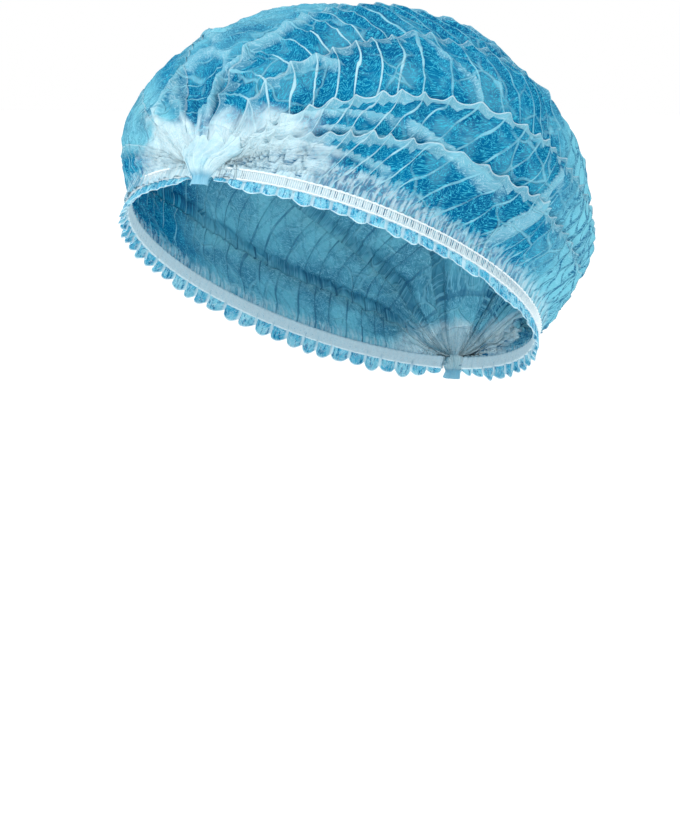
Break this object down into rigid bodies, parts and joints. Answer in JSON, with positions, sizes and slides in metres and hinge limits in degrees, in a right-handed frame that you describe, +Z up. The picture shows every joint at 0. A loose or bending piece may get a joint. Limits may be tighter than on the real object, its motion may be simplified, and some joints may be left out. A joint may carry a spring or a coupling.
{
  "type": "disposable hairnet",
  "caption": "Disposable pleated nonwoven hairnet in its worn shape: a pleated crown gathered to a knot at forehead and nape, with side elastics and scalloped ruffles.",
  "frame": {"origin": "centre of the head opening's ellipse, where the hairnet sits on a head", "axes": "+Z up, -Y toward the wearer's forehead, +X toward the wearer's left"},
  "size_m": [0.182, 0.2071, 0.1522],
  "materials": {
    "cloth": "thin blue nonwoven with fine wavy embossing, lighter where it lies in several layers",
    "gathered_cloth": "the same nonwoven, bunched and welded, pale from its many layers",
    "elastic": "white elastic with two rows of stitching"
  },
  "bodies": {
    "root": {"crown": "cloth", "elastic_left": "elastic", "elastic_right": "elastic", "ruffle_left": "cloth", "ruffle_right": "cloth", "front_knot": "gathered_cloth", "rear_knot": "gathered_cloth"}
  },
  "joints": []
}
